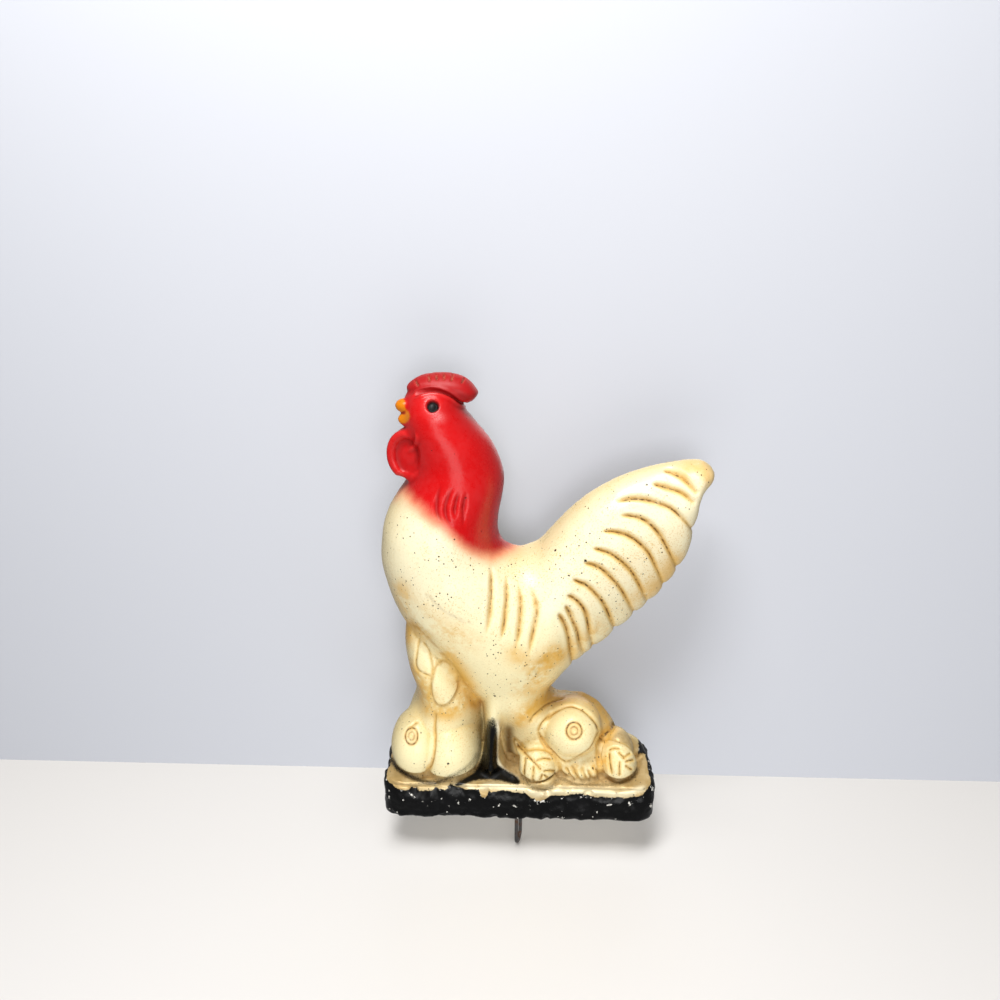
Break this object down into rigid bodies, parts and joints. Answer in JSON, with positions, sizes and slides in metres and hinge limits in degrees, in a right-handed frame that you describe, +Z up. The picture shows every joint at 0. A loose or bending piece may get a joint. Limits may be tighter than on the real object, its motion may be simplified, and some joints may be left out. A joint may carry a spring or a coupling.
{
  "type": "chalkware rooster wall figure",
  "caption": "Painted plaster rooster on a plinth with fruit and leaves, flat-backed to hang on a wall, with a cast-in hanging staple and a wire loop under the base.",
  "frame": {"origin": "middle of the hanging staple's crown, where the nail or hook carries the figure", "axes": "+Y towards the wall, square to the flat back; +Z up; +X to the viewer's right, towards the tail; the relief faces -Y"},
  "size_m": [0.2045, 0.05, 0.3086],
  "materials": {
    "painted_plaster": "semi-gloss paint over cast plaster: ivory body, red head, black and tan plinth",
    "steel_wire": "dull, darkened with age"
  },
  "bodies": {
    "root": {"plaster_casting": "painted_plaster", "base_loop": "steel_wire", "hanger_staple": "steel_wire"}
  },
  "joints": []
}
